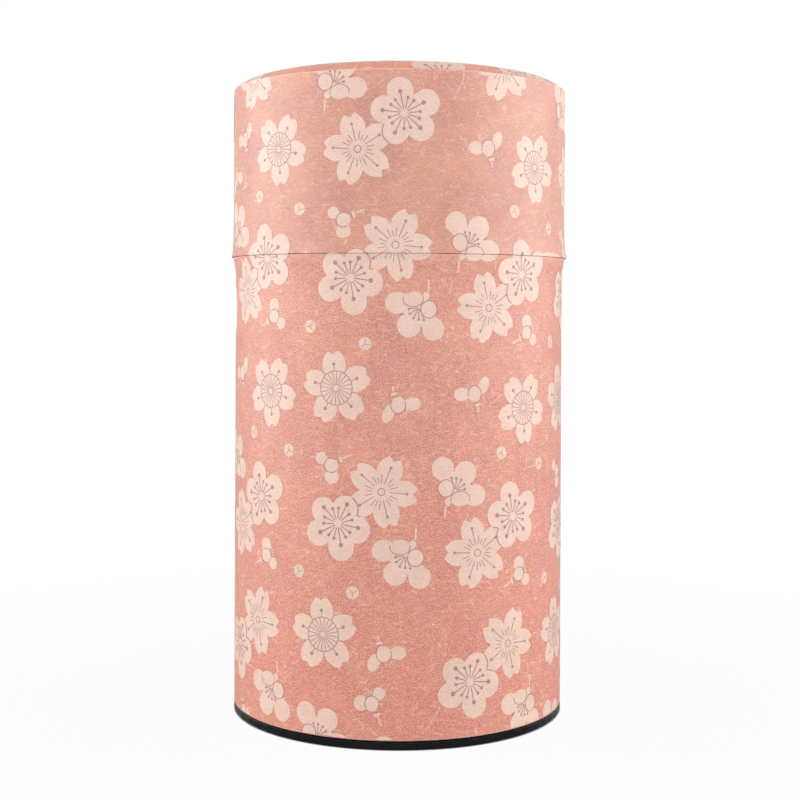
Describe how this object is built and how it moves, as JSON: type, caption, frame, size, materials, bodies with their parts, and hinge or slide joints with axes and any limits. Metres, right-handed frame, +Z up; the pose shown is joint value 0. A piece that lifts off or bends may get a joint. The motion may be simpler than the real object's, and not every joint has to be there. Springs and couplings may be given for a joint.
{
  "type": "tea tin",
  "caption": "Round tea tin covered in patterned washi paper, with a slip-on outer lid over a raised neck, a plug-in inner lid with a knob, and a black enamelled base rim.",
  "frame": {"origin": "centre of the foot, on the plane that the tin stands on", "axes": "+Z up along the tin's axis, towards the lid's crown; the pictured side faces -Y"},
  "size_m": [0.083, 0.083, 0.1552],
  "materials": {
    "black_enamel": "gloss",
    "body_tinplate": "satin",
    "sleeve_tinplate": "bright",
    "body_washi": "matte",
    "lid_tinplate": "satin",
    "crown_tinplate": "satin",
    "lid_washi": "matte",
    "top_washi": "matte",
    "pan_tinplate": "bright",
    "knob_black": "gloss",
    "rivet_steel": "satin"
  },
  "bodies": {
    "tin_body": {"base_plate": "black_enamel", "body_shell": "body_tinplate", "inner_sleeve": "sleeve_tinplate", "body_paper": "body_washi"},
    "outer_lid": {"lid_shell": "lid_tinplate", "lid_top_plate": "crown_tinplate", "lid_paper": "lid_washi", "lid_top_paper": "top_washi"},
    "inner_lid": {"inner_lid_pan": "pan_tinplate", "inner_lid_knob": "knob_black", "knob_rivet": "rivet_steel"}
  },
  "joints": [
    {"name": "outer_lid_lift", "type": "slide", "parent": "tin_body", "child": "outer_lid", "axis": [0, 0, 1], "range_m": [0, 0.1]},
    {"name": "inner_lid_lift", "type": "slide", "parent": "tin_body", "child": "inner_lid", "axis": [0, 0, 1], "range_m": [0, 0.035]}
  ],
  "couplings": [
    {"joint": "inner_lid_lift", "follows": "outer_lid_lift", "ratio": 0.35}
  ]
}
